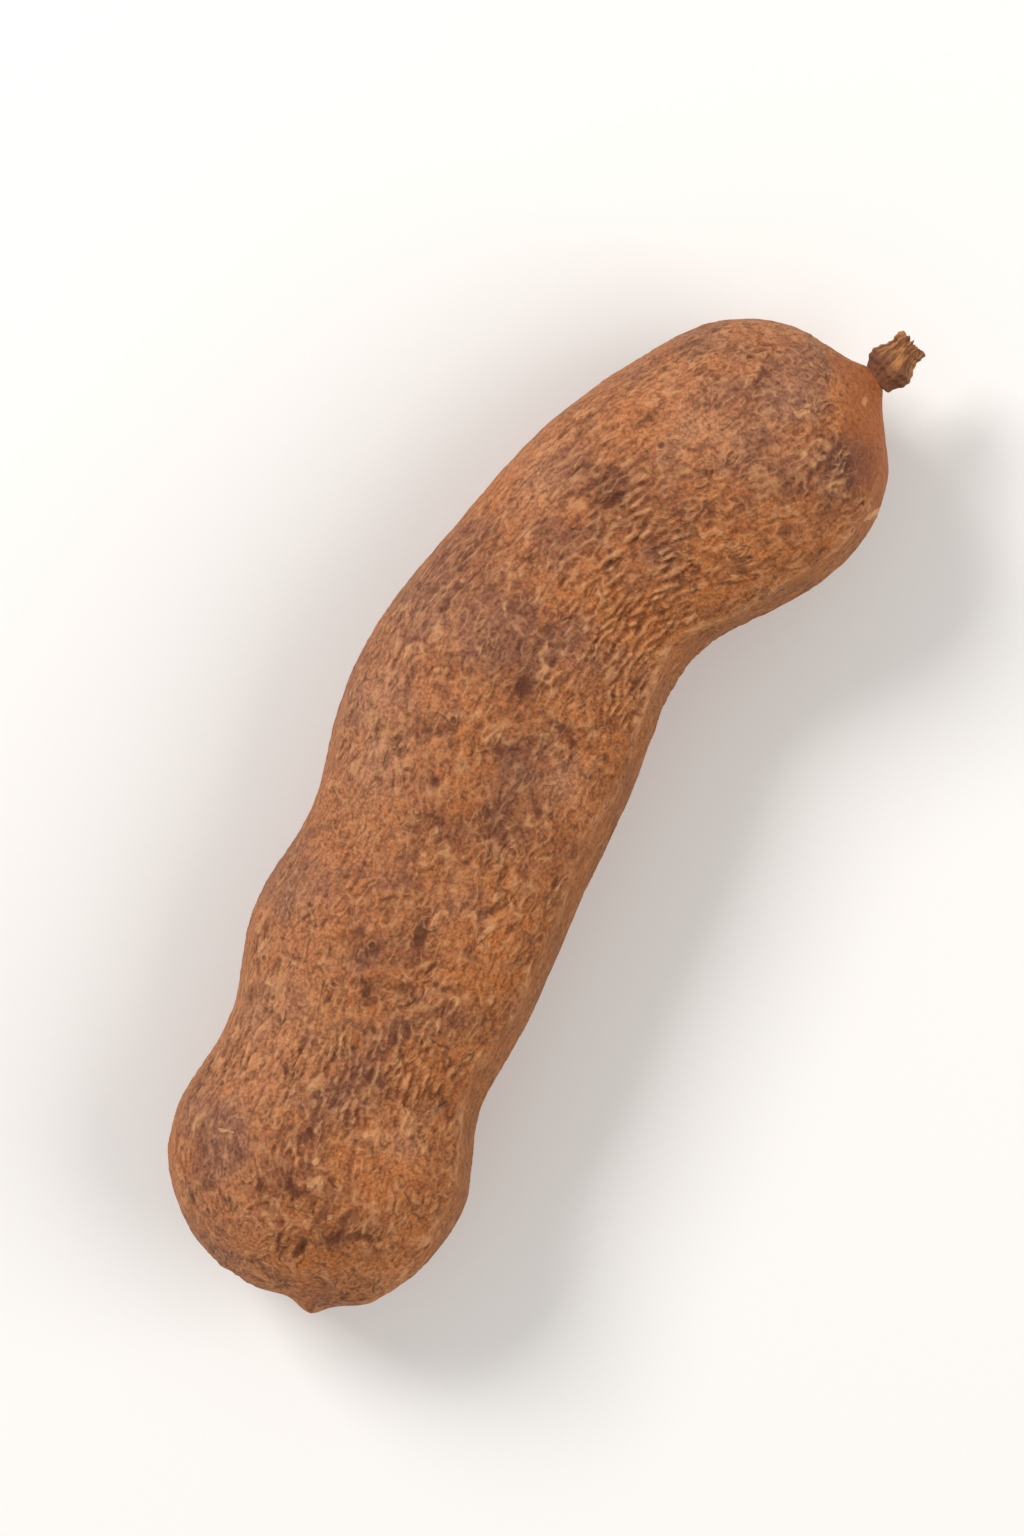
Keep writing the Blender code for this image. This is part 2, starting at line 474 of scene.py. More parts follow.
PALE_PLACES = (  # where the skin is dusty and light, and one painted sheen highlight: X, Y, reach, strength
    (21.5, 17.0, 2.6, 0.9),
    (16.5, 13.5, 3.0, 0.5),
    (45.0, 20.5, 3.0, 0.9),
    (50.5, 24.0, 2.6, 0.8),
    (74.0, 21.0, 2.6, 0.9),
    (84.5, 11.0, 3.4, 0.9),
    (52.5, 5.2, 2.4, 0.9),
    (17.5, 0.8, 2.2, 0.7),
    # painted sheen highlight on the dome
    (92.0, 5.8, 1.6, 1.0),
    (38.0, 8.0, 2.6, 0.5),
    (88.0, 5.0, 2.6, 0.6),
    (64.0, 3.5, 2.4, 0.5),
)

# Single marks at such places: X, Y, length, breadth, and turn in degrees.
BARE_RIM = ((92.8, -2.6, 13.0, 5.6, 41.0),)  # smooth skin from the neck down the rim
BEAK_PIT = ((4.9, 3.7, 1.6, 1.0, 2.0),)
FLAKES_AND_HIGHLIGHTS = (  # lifted flakes of light skin, and painted highlights: a sheen streak and two lit gather crests
    (12.4, 6.6, 1.3, 0.55, -24.0),
    (10.7, 5.8, 1.3, 0.7, -24.0),
    (10.3, 15.1, 1.7, 0.5, -64.0),
    (14.5, 13.4, 1.0, 0.6, 10.0),
    (8.8, 2.9, 1.0, 0.5, -30.0),
    (18.0, 18.6, 1.6, 0.6, 20.0),
    (26.0, 20.6, 1.8, 0.5, -10.0),
    (37.4, 4.2, 2.0, 0.6, -19.0),
    (40.5, 5.1, 1.1, 0.6, -14.0),
    (51.6, 6.2, 1.1, 0.4, -59.0),
    # painted highlights on two gather crests
    (66.9, 3.6, 1.6, 0.5, -25.0),
    (70.6, 3.1, 1.8, 0.5, -20.0),
    # painted sheen streak on the dome
    (91.4, 4.1, 2.6, 0.8, -24.0),
    (95.3, -0.1, 0.9, 0.5, 11.0),
    (87.2, -6.0, 2.4, 0.5, -24.0),
)
SMUDGES = (  # small dark hollows and smudges
    (4.9, 3.8, 1.8, 1.0, 2.0),
    (7.3, 1.5, 2.4, 1.2, -40.0),
    (8.6, -0.2, 1.8, 1.0, -60.0),
    (9.2, 7.0, 2.4, 1.1, 60.0),
    (8.0, 9.6, 1.6, 0.9, 20.0),
    (5.2, 13.6, 1.2, 0.7, -30.0),
    (14.2, 8.6, 1.8, 0.9, -10.0),
    (17.9, 12.9, 1.4, 0.8, 40.0),
    (21.4, 6.5, 1.4, 0.8, 0.0),
    (27.5, 10.5, 2.2, 1.2, 30.0),
    (31.2, 11.8, 1.8, 0.9, -20.0),
    (34.1, 9.1, 2.0, 1.1, 10.0),
    (38.8, 5.2, 1.8, 0.8, -30.0),
    (46.3, 15.0, 1.4, 0.8, 20.0),
    (55.9, 3.2, 0.9, 0.7, 0.0),
    (55.7, 6.3, 1.4, 0.8, -40.0),
    (57.7, 12.6, 2.2, 1.3, 20.0),
    (76.0, 14.4, 2.0, 1.0, -20.0),
)
FAR_FROM_MARKS = 3.0  # the widest gap that is told

# Millimetres
BEAK_SPUR = 0.25  # how far the beak's tip is drawn out
PIT_DEPTH = 0.5  # of the pit beside it
NECK_RISE = 0.45  # how far the neck rises to the stub's foot
BARE_REACH = 6.5  # of the smooth skin round the neck
INNER_STRIP = 6.2  # half the width of the smooth strip inside the bow
OUTER_STRIP = 4.2  # and of the strip outside it


def spread(places, plan):
    """How strong these places are at each point of plan."""
    total = np.zeros(plan.shape[:2])
    for x, y, reach, strength in places:
        total += strength * bell(np.hypot(plan[..., 0] - x, plan[..., 1] - y), reach)
    return total


def gap_to(marks, plan):
    """How far plan's places are from the nearest of the marks: 0 in its middle, 1 at its
    edge, and so on outwards."""
    gaps = [np.full(plan.shape[:-1], FAR_FROM_MARKS)]
    for x, y, length, breadth, turn in marks:
        turned = complex(math.cos(math.radians(turn)), -math.sin(math.radians(turn)))
        there = (plan[..., 0] - x + 1j * (plan[..., 1] - y)) * turned
        gaps.append(np.hypot(there.real * 2 / length, there.imag * 2 / breadth))
    return np.min(gaps, axis=0)


def seen_from_above(points):
    """Their X and Y in millimetres from the beak's tip."""
    return (points[..., :2] - np.array(BEAK)[:2]) / MM


def away_from(end, points):
    """How far the points are from an end of the pod, in millimetres."""
    return np.linalg.norm(points - np.array(end), axis=-1) / MM


def without_facets(reaches, lengthwise):
    """The husk grid's reaches with the CAD facets blurred, but not at the poles."""
    along_step = (LINE_LENGTH - 2 * CAP_REACH) / (RINGS - 2 * CAP_RINGS)
    around_step = 2 * math.pi * HUSK_RADIUS / SIDES
    eased = blurred(reaches, FACET_BLUR / along_step, FACET_BLUR / around_step)
    near_pole = bell(1 - np.abs(lengthwise), 0.06)
    return eased + (reaches - eased) * near_pole


def swellings(skin, rise):
    """How far the husk's own lumps and hollows stand out, in millimetres."""
    plan = seen_from_above(skin)
    from_neck = away_from(NECK, skin)
    swell = spread(CHIN_AND_HOLLOW, plan) * (1 - rise**2) ** 2
    swell += spread(DENTS, plan) * np.where(rise > 0, 1.0, 0.6)
    swell += BEAK_SPUR * bell(np.hypot(plan[..., 0], plan[..., 1]), 0.8)
    # the smooth end by the stalk lies a little lower, behind a short fold
    swell -= 0.22 * np.clip((8.5 - from_neck) / 2.5, 0, 1)
    swell += spread(FOLD, plan) * (rise > 0)
    swell += NECK_RISE * bell(from_neck, 2.6)
    return swell


def seams(angles, reaches, stations, lengthwise):
    """The seams along the inside and the outside of the bow. Each is a smooth strip with a
    fine groove in it, between two low ridges. Gives how far they stand out, in millimetres,
    and what the relief and the finish read of them."""
    around = (angles - math.pi) * reaches / MM  # millimetres from the inside of the bow
    outside = (np.mod(angles + math.pi, 2 * math.pi) - math.pi) * reaches / MM
    in_length = bell(lengthwise, 0.55)
    wander = 0.5 * np.sin(stations / MM / 3.4) + 0.35 * np.sin(stations / MM / 1.9 + 1)
    inner_half = INNER_STRIP + wander
    outer_half = OUTER_STRIP + wander
    inner_edge = bell(np.abs(around) - inner_half, 0.7)
    outer_edge = bell(np.abs(outside) - outer_half, 0.7)
    from_seam = np.minimum(np.abs(around + wander), np.abs(outside + wander))
    swell = in_length * 0.24 * (inner_edge - 0.8 * bell(around, 4.4))
    swell += in_length * 0.1 * (outer_edge - bell(outside, 2.6))
    swell += in_length * (0.16 * bell(from_seam - 0.9, 0.5) - 0.1 * bell(from_seam, 0.5))
    seam_inside = np.clip(1.5 * in_length - (np.abs(around) / inner_half) ** 4, 0, 1)
    seam_outside = np.clip(1.3 * in_length - (np.abs(outside) / outer_half) ** 2, 0, 1)
    readings = {
        "around": around,
        "seam": np.clip(seam_inside + seam_outside, 0, 1),
        "seam_edge": in_length * bell(np.abs(around) - inner_half, 0.45),
        "from_seam": np.where(in_length > 0.3, np.minimum(from_seam, 3), 3.0),
    }
    return swell, readings


def mark_readings(skin, rise):
    """Where the husk is ruffled, stained, worn or marked, and where shade and highlights are
    painted. The single marks are on top.
    """
    plan = seen_from_above(skin)
    on_top = rise > 0
    bare = gap_to(BARE_RIM, plan) + FAR_FROM_MARKS * (rise < 0)
    return {
        "ruffled": np.clip(spread(RUFFLED_PLACES, plan), 0, 1),
        "grey": np.clip(spread(GREY_PLACES, plan), 0, 1),
        "dark": np.clip(spread(DARK_PLACES, plan), 0, 1.6),
        "rust": np.clip(spread(RUSTY_PLACES, plan), 0, 1.2),
        "pale": np.clip(spread(PALE_PLACES, plan), 0, 1),
        "flake_and_highlight_gap": np.where(on_top, gap_to(FLAKES_AND_HIGHLIGHTS, plan), FAR_FROM_MARKS),
        "smudge_gap": np.where(on_top, gap_to(SMUDGES, plan), FAR_FROM_MARKS),
        "bare_gap": np.minimum(away_from(NECK, skin) / BARE_REACH, bare),
        "beak_gap": away_from(BEAK, skin),
    }


def shaped_husk():
    """Corners of the husk's skin before its relief, and what its patterns read."""
    starts, rays, reaches, stations, lengthwise, angles = husk_grid()
    rise = rays[..., 2]
    reaches = without_facets(reaches, lengthwise)
    smooth = starts + rays * reaches[..., None]
    swell = swellings(smooth, rise)
    beak_pit = bell(gap_to(BEAK_PIT, seen_from_above(smooth)), 0.9) * (rise > 0)
    seam_swell, seam_readings = seams(angles, reaches, stations, lengthwise)
    reaches = reaches + (swell - PIT_DEPTH * beak_pit + seam_swell) * MM
    skin = starts + rays * reaches[..., None]

    cosine, sine = np.cos(angles), np.sin(angles)
    across = np.sqrt(1 - lengthwise**2)  # the share of each ray that leaves the line
    out = reaches * across / MM
    length = (stations + reaches * lengthwise) / MM
    readings = {
        "straight": np.stack([length, out * cosine, out * sine], axis=-1),
        "round_the_pod": np.stack([0 * sine, -sine, cosine], axis=-1),
        "outward": cosine * across,
        "crown": sine * across,
        "beak_pit": beak_pit,
    }
    return skin, readings | seam_readings | mark_readings(skin, rise)


def grid_mesh(name, corners, readings):
    """A closed mesh from rings of corners: the first and last rings shrink to its poles.
    readings are stored on its corners."""
    rings, sides = corners.shape[:2]
    points = [corners[0].mean(axis=0)]
    points += list(corners[1:-1].reshape(-1, 3))
    points.append(corners[-1].mean(axis=0))
    faces = []
    last = len(points) - 1
    for j in range(sides):
        k = (j + 1) % sides
        faces.append((0, 1 + k, 1 + j))
        for i in range(rings - 3):
            a, b = 1 + i * sides, 1 + (i + 1) * sides
            faces.append((a + j, a + k, b + k, b + j))
        a = 1 + (rings - 3) * sides
        faces.append((a + j, a + k, last))
    mesh = bpy.data.meshes.new(name)
    mesh.from_pydata([tuple(p) for p in points], [], faces)
    mesh.update()
    for key, values in readings.items():
        deep = values.ndim == 3
        ends = values[0].mean(axis=0)[None], values[-1].mean(axis=0)[None]
        middle = values[1:-1].reshape(-1, 3) if deep else values[1:-1].reshape(-1)
        flat = np.concatenate([ends[0], middle, ends[1]]).astype(np.float32)
        layer = mesh.attributes.new(key, "FLOAT_VECTOR" if deep else "FLOAT", "POINT")
        layer.data.foreach_set("vector" if deep else "value", flat.ravel())
    mesh.shade_smooth()
    return mesh


def new_object(name, mesh):
    """An object of the scene, at the origin."""
    obj = bpy.data.objects.new(name, mesh)
    bpy.context.scene.collection.objects.link(obj)
    return obj


# ------------------------------------------------------------ geometry nodes


class Shaping(Tree):
    """A Geometry Nodes tree with named inputs, which ends in Realize and Set Material."""

    def __init__(self, name):
        super().__init__(bpy.data.node_groups.new(name, "GeometryNodeTree"))
        face, kind = self.tree.interface, "NodeSocketGeometry"
        face.new_socket("Geometry", in_out="INPUT", socket_type=kind)
        face.new_socket("Geometry", in_out="OUTPUT", socket_type=kind)
        self.entry = self.tree.nodes.new("NodeGroupInput")
        self.values = {}

    def input(self, name, value, kind="NodeSocketFloat"):
        """A named input, and the value that this piece gives it."""
        socket = self.tree.interface.new_socket(name, in_out="INPUT", socket_type=kind)
        self.values[socket.identifier] = value
        return Wire(self, self.find(self.entry.outputs, name))

    def geometry(self):
        """The shape that comes in."""
        return Wire(self, self.entry.outputs[0])

    def read(self, name, kind="FLOAT"):
        """An attribute that the surface carries."""
        return self.node("GeometryNodeInputNamedAttribute", {"data_type": kind}, {"Name": name})

    def finish(self, geometry, material):
        """Gives geometry out as one mesh of that material."""
        finish = self.input("Material", material, "NodeSocketMaterial")
        whole = self.node("GeometryNodeRealizeInstances", {}, {"Geometry": geometry})
        sockets = {"Geometry": whole, "Material": finish}
        painted = self.node("GeometryNodeSetMaterial", {}, sockets)
        self.node("NodeGroupOutput", {}, {"Geometry": painted})

    def made_from(self, obj, name):
        """obj's shape after this tree, as a plain piece of its own. obj goes."""
        modifier = obj.modifiers.new(name, "NODES")
        modifier.node_group = self.tree
        for identifier, value in self.values.items():
            modifier[identifier] = value
        bpy.context.view_layer.update()
        depsgraph = bpy.context.evaluated_depsgraph_get()
        mesh = bpy.data.meshes.new_from_object(
            obj.evaluated_get(depsgraph), preserve_all_data_layers=True, depsgraph=depsgraph
        )
        obj.modifiers.remove(modifier)
        bpy.data.objects.remove(obj)
        mesh.name = name
        return new_object(name, mesh)


def husk_relief(material):
    """Lumps, wrinkles, curls and gathers that push the husk's skin in and out."""
    tree = Shaping("husk relief")
    wrinkle_height = tree.input("Wrinkle height", 0.1 * MM)
    curl_height = tree.input("Curl height", 0.1 * MM)
    gather_height = tree.input("Gather height", 0.36 * MM)
    gather_width = tree.input("Gather width", 0.84)
    lump_height = tree.input("Lump height", 0.24 * MM)
    seam_line_height = tree.input("Seam line height", 0.03 * MM)
    seam_line_gap = 1.1  # millimetres
    straight = tree.read("straight", "FLOAT_VECTOR")
    around = tree.read("around")
    ruffled = tree.read("ruffled")
    seam = tree.read("seam")
    smooth_end = tree.read("bare_gap").eased(0.6, 1.2) * tree.read("beak_gap").eased(1.5, 5.0)

    lumps = tree.noise(straight, size=7.0, detail=1.0) + tree.noise(straight, size=3.2) * 0.5 - 0.75
    patchy = tree.noise(straight + (40, 0, 0), size=4.0, detail=1.0).eased(0.4, 0.6)
    round_the_pod = tree.read("round_the_pod", "FLOAT_VECTOR")
    plain = worms(tree, straight, round_the_pod, apart=0.85, alike=0.3, start=7.0)
    plain = plain * (0.2 + 0.8 * patchy)
    crest, crease = curls(
        tree, straight, length=2.6, width=1.7, breadth=0.07, sparse=0.44, start=21.0
    )

    # wrinkles side by side, where the skin is gathered, and aslant towards the stalk
    broken = tree.noise(straight * (0.4, 1.3, 1.3) + (0, 30, 0), size=1.6).eased(0.3, 0.5)
    distance = tree.node("ShaderNodeSeparateXYZ", {}, {"Vector": straight}, "X")
    slant = tree.node("ShaderNodeCombineXYZ", {}, {"X": distance.eased(52.0, 64.0) * -0.3})
    across = round_the_pod + slant
    gathers = worms(tree, straight, across, gather_width, alike=0.86, start=3.0) + 0.5
    gathers = (gathers * gathers - 0.36) * broken

    calm = (1 - seam * 0.6) * (0.25 + 0.75 * smooth_end)
    wrinkled = plain * (1 - ruffled * 0.6) * calm
    curled = (crest - crease) * calm
    gathered = gathers * ruffled * calm
    waver = tree.noise(straight * (0.15, 1, 1), size=2.0) * 7.0
    seam_lines = (around * (2 * math.pi / seam_line_gap) + waver).sine()
    relief = wrinkled * wrinkle_height + gathered * gather_height + lumps * lump_height
    relief = relief + curled * curl_height + seam_lines * seam * seam_line_height
    normal = tree.node("GeometryNodeInputNormal")
    sockets = {"Geometry": tree.geometry(), "Offset": normal * relief}
    moved = tree.node("GeometryNodeSetPosition", {}, sockets)
    # painted highlights and shade: the finish lightens the crests and darkens the creases by this
    crests = wrinkled * 0.4 + gathered * 1.2 + curled * 0.5
    sockets = {"Geometry": moved, "Name": "relief", "Value": crests}
    marked = tree.node("GeometryNodeStoreNamedAttribute", {"data_type": "FLOAT"}, sockets)
    tree.finish(marked, material)
    return tree


# ------------------------------------------------------------------- finishes


class Finish(Tree):
    """A material that is being written, with one Principled shader."""

    def __init__(self, name):
        self.material = bpy.data.materials.new(name)
        self.material.use_nodes = True
        super().__init__(self.material.node_tree)
        self.shader = self.tree.nodes["Principled BSDF"]

    def read(self, name, out="Fac"):
        """An attribute that the surface carries."""
        return self.node("ShaderNodeAttribute", {"attribute_name": name}, {}, out)

    def set(self, **values):
        """Feeds or sets the shader's sockets, named with _ for a space."""
        for name, value in values.items():
            socket = self.shader.inputs[name.replace("_", " ")]
            if isinstance(value, Wire):
                self.tree.links.new(value.socket, socket)
            else:
                socket.default_value = value


# The husk's paints
RUSSET = paint(176, 105, 56)
MAUVE = paint(136, 82, 56)
OCHRE = paint(188, 124, 70)
OUTER_TAN = paint(170, 113, 80)  # towards the outside of the bow
INNER_RUST = paint(166, 98, 44)  # and towards its inside
ORANGE_SKIN = paint(190, 108, 44)
# dust, and the painted sheen on the dome
DUST_AND_SHEEN = paint(192, 134, 98)
# grey scurf, partly the painted sheen on the dome
SCURF_AND_SHEEN = paint(142, 100, 84)
# brown stains, and the painted shade below the fold
BROWN_STAIN_AND_SHADE = paint(92, 50, 36)
FAINT_STAIN = paint(112, 64, 42)
BARE_SKIN = paint(158, 84, 36)
SCURF_ON_BARE_SKIN = paint(112, 70, 56)
# painted highlight on the crests and rims, and the light flakes
PALE_HIGHLIGHT_AND_FLAKE = paint(206, 150, 102)
# painted shade in the creases, grooves and pits, and the dark smudges
CREASE_SHADE_AND_SMUDGE = paint(82, 39, 20)
HUSK_SHEEN = paint(236, 180, 130)


def husk_finish():
    """Dry matt husk: rust and tan skin under grey scurf, with a painted sheen near the stalk,
    painted highlights on the crests and painted shade in the creases and pits.
    """
    tree = Finish("dry_husk")
    straight = tree.read("straight", "Vector")
    relief = tree.read("relief")
    grey = tree.read("grey")
    rust = tree.read("rust")
    dark = tree.read("dark")
    dust_and_sheen = tree.read("pale")
    outward = tree.read("outward")
    seam_edge = tree.read("seam_edge")
    crown = tree.read("crown")

    # where the skin is smooth, with worn edges
    worn = tree.noise(straight + (20, 30, 40), size=2.4, detail=2.0) - 0.5
    seam = (tree.read("seam") + worn * 1.6).eased(0.2, 0.9)
    suture = (tree.read("from_seam") + worn * 0.6).eased(0.45, 0.1)
    bald = (tree.read("bare_gap") + worn * 0.8).eased(1.15, 0.85)
    rough = 1 - (seam * 0.5).greater(bald * 0.7)

    # fine relief and single marks
    crest, crease = curls(
        tree, straight, length=1.9, width=1.15, breadth=0.07, sparse=0.5, start=3.0
    )
    line, groove = whorls(tree, straight, size=1.3, turns=4.0, start=31.0)
    hole, rim = pits(tree, straight, apart=2.6, breadth=0.32)
    ragged = (tree.noise(straight + (7, 7, 0), size=0.5) - 0.5) * 1.2
    # light flakes, and painted highlights: a sheen streak and two lit gather crests
    flake_and_highlight = (tree.read("flake_and_highlight_gap") + ragged).eased(1.2, 0.7)
    smudge = (tree.read("smudge_gap") + ragged).eased(1.4, 0.6)
    smudge = smudge * 0.5 + tree.read("smudge_gap").eased(0.7, 0.2) * 0.3

    # grain, and patches of every size
    strokes = tree.noise(straight * (0.9, 2.2, 2.2), size=1.0, detail=0.8).eased(0.36, 0.64)
    unevenly = straight + tree.noise(straight, size=0.6, out="Color") * 0.3
    sockets = {"Vector": unevenly, "Scale": 1 / 0.3}
    pebble = tree.node("ShaderNodeTexVoronoi", {"feature": "F1"}, sockets, "Distance")
    pebble = pebble.eased(0.9, 0.25)
    fuzz = tree.noise(straight + (9, 9, 9), size=0.4, detail=1.0).eased(0.28, 0.72)
    grain = tree.noise(straight, size=0.12, detail=1.0, roughness=0.6)
    patches = tree.noise(straight + (11, 5, 3), size=7.0, detail=2.0, roughness=0.6)
    clouds = tree.noise(straight + (3, 50, 9), size=3.4, detail=2.0, roughness=0.6)
    stains = tree.noise(straight + (60, 20, 9), size=1.9, detail=1.5, roughness=0.6)
    ring = abs(stains - 0.5).eased(0.05, 0.005)  # a pale edge round each stain

    # the paints, from the broadest to the finest
    mauve = (patches + grey * 0.2 - rust * 0.2).eased(0.44, 0.61)
    skin = tree.mix(mauve, RUSSET, MAUVE)
    ochre = (clouds + seam * 0.12 + dust_and_sheen * 0.04).eased(0.48, 0.68)
    skin = tree.mix(ochre * 0.4, skin, OCHRE)
    skin = tree.mix(outward.eased(-0.2, 0.8) * 0.45, skin, OUTER_TAN)
    skin = tree.mix(outward.eased(0.1, -0.9) * 0.5, skin, INNER_RUST)
    uneven = 0.4 + 1.2 * clouds
    skin = tree.mix((rust * uneven * 0.4).lesser(0.8), skin, ORANGE_SKIN)
    skin = tree.mix((dust_and_sheen * uneven * 0.55).lesser(0.8), skin, DUST_AND_SHEEN)
    skin = tree.mix((grey * uneven * 0.3).lesser(0.8), skin, SCURF_AND_SHEEN)
    skin = tree.mix((dark * uneven * 0.6).lesser(0.85), skin, BROWN_STAIN_AND_SHADE)
    skin = tree.mix(stains.eased(0.48, 0.32) * rough * 0.36, skin, FAINT_STAIN)
    # painted shade: the top of the crown a tenth darker
    skin = skin * (1 - crown.eased(0.7, 1.0) * 0.1)
    skin = tree.mix(bald * 0.6, skin, BARE_SKIN)
    skin = tree.mix(bald * grey * 0.7, skin, SCURF_ON_BARE_SKIN)
    mottle = (strokes * 0.2 + pebble * 0.55 + fuzz * 0.25 - 0.5) * (0.45 + 0.55 * rough)
    skin = skin * (0.8 + 0.9 * mottle + 0.06 * grain)
    # painted shade: darker along the inside edge of the bow, and a little along the outside edge
    skin = skin * (1 - outward.eased(-0.7, -1.0) * 0.3 - outward.eased(0.5, 1.0) * 0.05)

    # painted highlights: the crests, wrinkle lines, pit rims and the seam's ridge are paler, as are
    # the light flakes and the pale rings round stains; painted shade: the creases, grooves, pits
    # and the seam's groove are darker, as are the dark smudges
    marks = (crest * 0.3 + line * 0.27 + rim * 0.2 + ring * 0.1) * rough
    # painted highlight along the ridge at the edge of the seam's strip
    marks = marks + flake_and_highlight * 0.6 + seam_edge * clouds.eased(0.35, 0.6) * 0.35
    pale = relief.eased(0.05, 0.5) * 0.4 + marks
    skin = tree.mix(pale.lesser(0.8), skin, PALE_HIGHLIGHT_AND_FLAKE)
    darkening = (crease * 0.3 + groove * 0.24) * rough + hole * 0.6
    # painted shade along the seam's groove
    darkening = relief.eased(-0.05, -0.5) * 0.5 + smudge + suture * 0.4 + darkening
    # painted shade in the pit beside the beak
    darkening = darkening + tree.read("beak_pit") * 0.9
    skin = tree.mix(darkening.lesser(0.8), skin, CREASE_SHADE_AND_SMUDGE)

    height = (crest - crease) * 0.1 + (line - groove) * 0.045 + (rim - hole * 2) * 0.07
    height = height * rough + mottle * 0.04 + grain * 0.01 + flake_and_highlight * 0.1 - smudge * 0.2
    sockets = {"Strength": 0.9, "Distance": 1.0 * MM, "Height": height}
    normal = tree.node("ShaderNodeBump", {}, sockets)
    roughness = 0.86 - pale * 0.12
    tree.set(Base_Color=skin, Normal=normal, Roughness=roughness)
    tree.set(Specular_IOR_Level=0.35, Sheen_Weight=0.16, Sheen_Roughness=0.4)
    tree.set(Sheen_Tint=HUSK_SHEEN)
    return tree.material


# The stub's paints
DARK_FIBRE = paint(104, 60, 34)
PALE_FIBRE = paint(178, 122, 72)
DARK_COLLAR = paint(108, 66, 44)
PITH = paint(58, 34, 20)


def stub_finish():
    """Golden broken wood, with dark fibres and a collar that is darker towards the foot."""
    tree = Finish("stalk_wood")
    place = tree.node("ShaderNodeTexCoord", {}, {}, "Object") * (1 / MM)
    height = tree.read("height")
    pith = tree.read("pith")
    along_fibres = tree.read("unrolled", "Vector") * (3.2, 3.2, 0.5)
    fibres = tree.noise(along_fibres, size=1.0, detail=2.0, roughness=0.6)
    cloud = tree.noise(place, size=0.9, detail=2.0)
    wood = tree.mix(fibres.eased(0.35, 0.65), DARK_FIBRE, PALE_FIBRE)
    # darker towards the foot, and in patches
    darkening = (height.eased(2.2, 0.9) * 0.8 + cloud.eased(0.55, 0.35) * 0.3).lesser(1.0)
    wood = tree.mix(darkening, wood, DARK_COLLAR)
    wood = tree.mix(pith, wood, PITH)
    sockets = {"Strength": 0.8, "Distance": 1.0 * MM, "Height": fibres * 0.15 + cloud * 0.1}
    normal = tree.node("ShaderNodeBump", {}, sockets)
    tree.set(Base_Color=wood, Normal=normal, Roughness=0.8, Specular_IOR_Level=0.35)
    return tree.material


# ------------------------------------------------------------------- the stub

STUB_SIDES = 144
STUB_STEP = 0.07  # millimetres between two rings
RIB_SEED = 5
KNOB_TURN = 2.2  # radians round the collar to the knob on its side
KNOB_HEIGHT = 1.7  # millimetres over the foot
# From the foot up the outside, over the broken rim and down into the pith: radius and
# height over the foot, millimetres.
STUB_OUTLINE = (
    (0.0, -0.6),
    (1.5, -0.6),
    (1.6, 0.0),
    (1.85, 0.4),
    (2.15, 0.9),
    (2.2, 1.5),
    (1.95, 2.1),
    (1.6, 2.7),
    (1.48, 3.3),
    (1.6, 3.85),
    (1.62, 4.2),
    (1.3, 4.28),
    (0.85, 4.05),
    (0.5, 3.8),
    (0.35, 3.1),
    (0.0, 3.0),
)


def stub_axis():
    """The middle of the stub's foot, and the way the stub points."""
    tip = max(meeting_places(STUB_CORNERS, 2), key=lambda corner: (corner - NECK).length)
    reach = max((corner - tip).length for corner in STUB_CORNERS)
    foot = [corner for corner in STUB_CORNERS if (corner - tip).length > reach - 0.05 * MM]
    middle = sum(foot, Vector()) / len(foot)
    return middle, (tip - middle).normalized()


def stub_outline():
    """The outline's radius and height at even steps, with its corners eased."""
    outline = np.array(STUB_OUTLINE)
    lengths = np.linalg.norm(np.diff(outline, axis=0), axis=1)
    marks = np.concatenate([[0], np.cumsum(lengths)])
    travel = np.linspace(0, marks[-1], int(marks[-1] / STUB_STEP))
    radius = relaxed(np.interp(travel, marks, outline[:, 0])[:, None], 10)[:, 0]
    height = relaxed(np.interp(travel, marks, outline[:, 1])[:, None], 10)[:, 0]
    return radius, height


def rib_waves(angles):
    """Two random rounds of ribs, each of spread 1: down the sides and on the broken rim."""
    draws = np.random.default_rng(RIB_SEED)
    fibre = np.zeros(STUB_SIDES)
    ragged = np.zeros(STUB_SIDES)
    for waves in range(2, 30):
        wobble = draws.normal() / waves**0.45
        shift = draws.uniform(0, 2 * math.pi)
        fibre += wobble * np.cos(waves * angles + shift)
        ragged += draws.normal() / waves**0.7 * np.cos(waves * angles - shift)
    return fibre / fibre.std(), ragged / ragged.std()


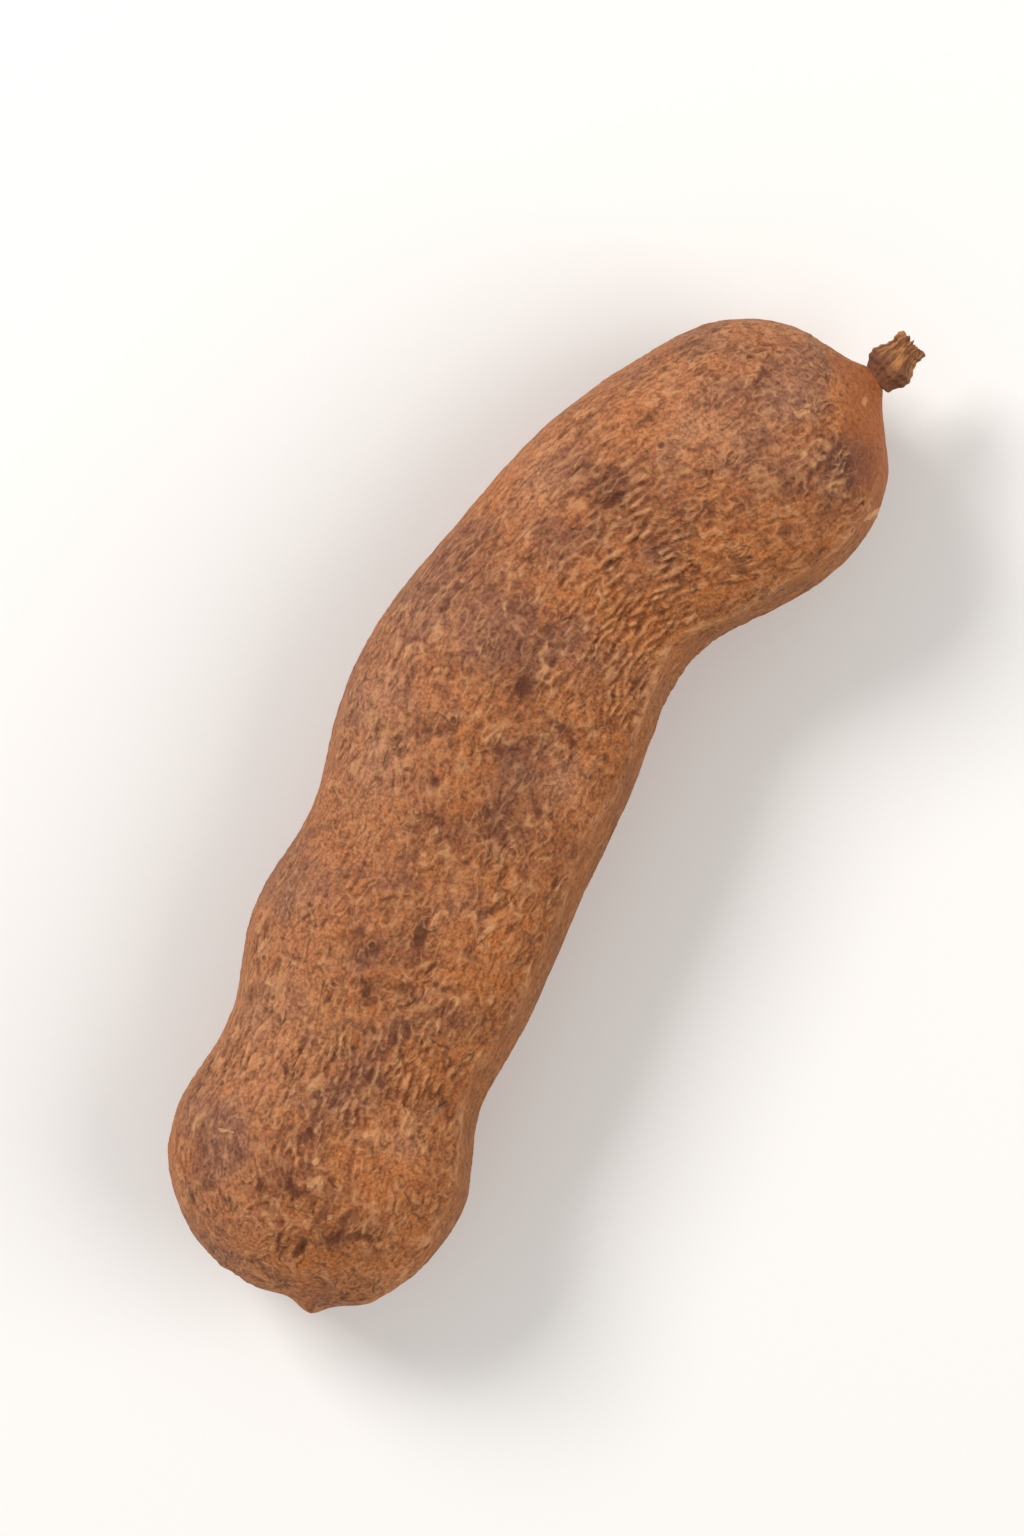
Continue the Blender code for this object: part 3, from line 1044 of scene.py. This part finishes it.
def make_stub(material):
    """The stub: ribs and a collar, a knob on one side, and a hollow, ragged broken end."""
    angles = np.arange(STUB_SIDES) / STUB_SIDES * 2 * math.pi
    fibre, ragged = rib_waves(angles)
    radius, height = stub_outline()
    turn, radius = np.meshgrid(angles, radius)
    height = np.repeat(height[:, None], STUB_SIDES, axis=1)
    body = np.clip((height + 0.2) / 0.6, 0, 1) * np.clip(radius / 0.9, 0, 1)
    top = np.clip((height - 2.6) / 1.6, 0, 1)
    rough = radius * (1 + 0.035 * body * fibre) + 0.05 * body * np.sin(height * 9 + fibre)
    rough += 0.55 * bell(turn - KNOB_TURN, 0.28) * bell(height - KNOB_HEIGHT, 0.45) * body
    tall = height + 0.16 * ragged * top - 0.12 * top
    corners = np.stack([rough * np.cos(turn), rough * np.sin(turn), tall], axis=-1)
    foot, axis = stub_axis()
    place = Matrix.Translation(foot) @ axis.to_track_quat("Z", "Y").to_matrix().to_4x4()
    place = np.array(place)
    readings = {
        "height": height,
        "pith": np.clip((0.95 - radius) / 0.4, 0, 1) * (height > 2.5),
        "unrolled": np.stack([np.cos(turn) * 2, np.sin(turn) * 2, height], axis=-1),
    }
    placed = corners * MM @ place[:3, :3].T + place[:3, 3]
    mesh = grid_mesh("broken_stalk", placed, readings)
    mesh.materials.append(material)
    return new_object("broken_stalk", mesh)


# ----------------------------------------------------------------- the making


def make_husk(material):
    """The husk's skin with its relief, none of it below the ground."""
    corners, readings = shaped_husk()
    blank = new_object("husk_blank", grid_mesh("husk_blank", corners, readings))
    husk = husk_relief(material).made_from(blank, "husk_skin")
    for corner in husk.data.vertices:
        corner.co.z = max(corner.co.z, 0.0)
    husk.data.update()
    return husk


FLOOR_REACH = 3.0  # metres each way
FLOOR_DROP = 0.05 * MM  # clear of the pod's flat places


def make_floor():
    """A plain pale floor just under the pod."""
    mesh = bpy.data.meshes.new("floor")
    ways = ((-1, -1), (1, -1), (1, 1), (-1, 1))
    corners = [(x * FLOOR_REACH, y * FLOOR_REACH, -FLOOR_DROP) for x, y in ways]
    mesh.from_pydata(corners, [], [(0, 1, 2, 3)])
    floor = new_object("floor", mesh)
    tree = Finish("pale_floor")
    tree.set(Base_Color=paint(238, 237, 235), Roughness=0.9, Specular_IOR_Level=0.2)
    mesh.materials.append(tree.material)


def make_light(name, toward, distance, size, power, colour):
    """A square soft light that way and that far from the pod, facing it. Metres, watts."""
    data = bpy.data.lights.new(name, "AREA")
    data.size = size
    data.energy = power
    data.color = colour
    light = bpy.data.objects.new(name, data)
    direction = Vector(toward).normalized()
    light.location = direction * distance
    light.rotation_mode = "QUATERNION"
    light.rotation_quaternion = direction.to_track_quat("Z", "Y")
    bpy.context.scene.collection.objects.link(light)


KEY = {
    "toward": (0.10, 0.66, 0.62),
    "distance": 0.9,
    "size": 0.35,
    "power": 5.6,
    "colour": (1.0, 0.97, 0.95),
}
FILL = {
    "toward": (0.3, -0.7, 0.7),
    "distance": 1.0,
    "size": 0.8,
    "power": 5.2,
    "colour": (1.0, 0.96, 0.91),
}
ROOM_LIGHT = 0.45


def make_studio():
    """The floor, a key light outside the bow, a broad fill inside it, and a pale room."""
    make_floor()
    make_light("key", **KEY)
    make_light("fill", **FILL)
    world = bpy.data.worlds.new("pale room")
    bpy.context.scene.world = world
    world.use_nodes = True
    background = world.node_tree.nodes["Background"]
    background.inputs["Color"].default_value = (1.0, 1.0, 1.0, 1.0)
    background.inputs["Strength"].default_value = ROOM_LIGHT


VIEW_TALL = 138 * MM  # what the picture's height takes in, at the pod
PICTURE_TURN = math.radians(-58.75)  # the pod lies aslant in the picture
LENS = 150.0
SENSOR = 36.0


def make_camera():
    """Straight down from far off, like a catalogue shot."""
    data = bpy.data.cameras.new("camera")
    data.lens = LENS
    data.sensor_width = SENSOR
    camera = bpy.data.objects.new("camera", data)
    low, high = CAD_BOX
    middle = (low + high) / 2
    camera.location = middle + Vector((0, 0, VIEW_TALL * LENS / SENSOR))
    camera.rotation_euler = (0, 0, PICTURE_TURN)
    bpy.context.scene.collection.objects.link(camera)
    bpy.context.scene.camera = camera


husk = make_husk(husk_finish())
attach(husk, "root")
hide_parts("pod_husk")

stub = make_stub(stub_finish())
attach(stub, "root")
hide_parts("stalk_stub")

make_studio()
make_camera()
bpy.context.scene.view_settings.view_transform = "Standard"
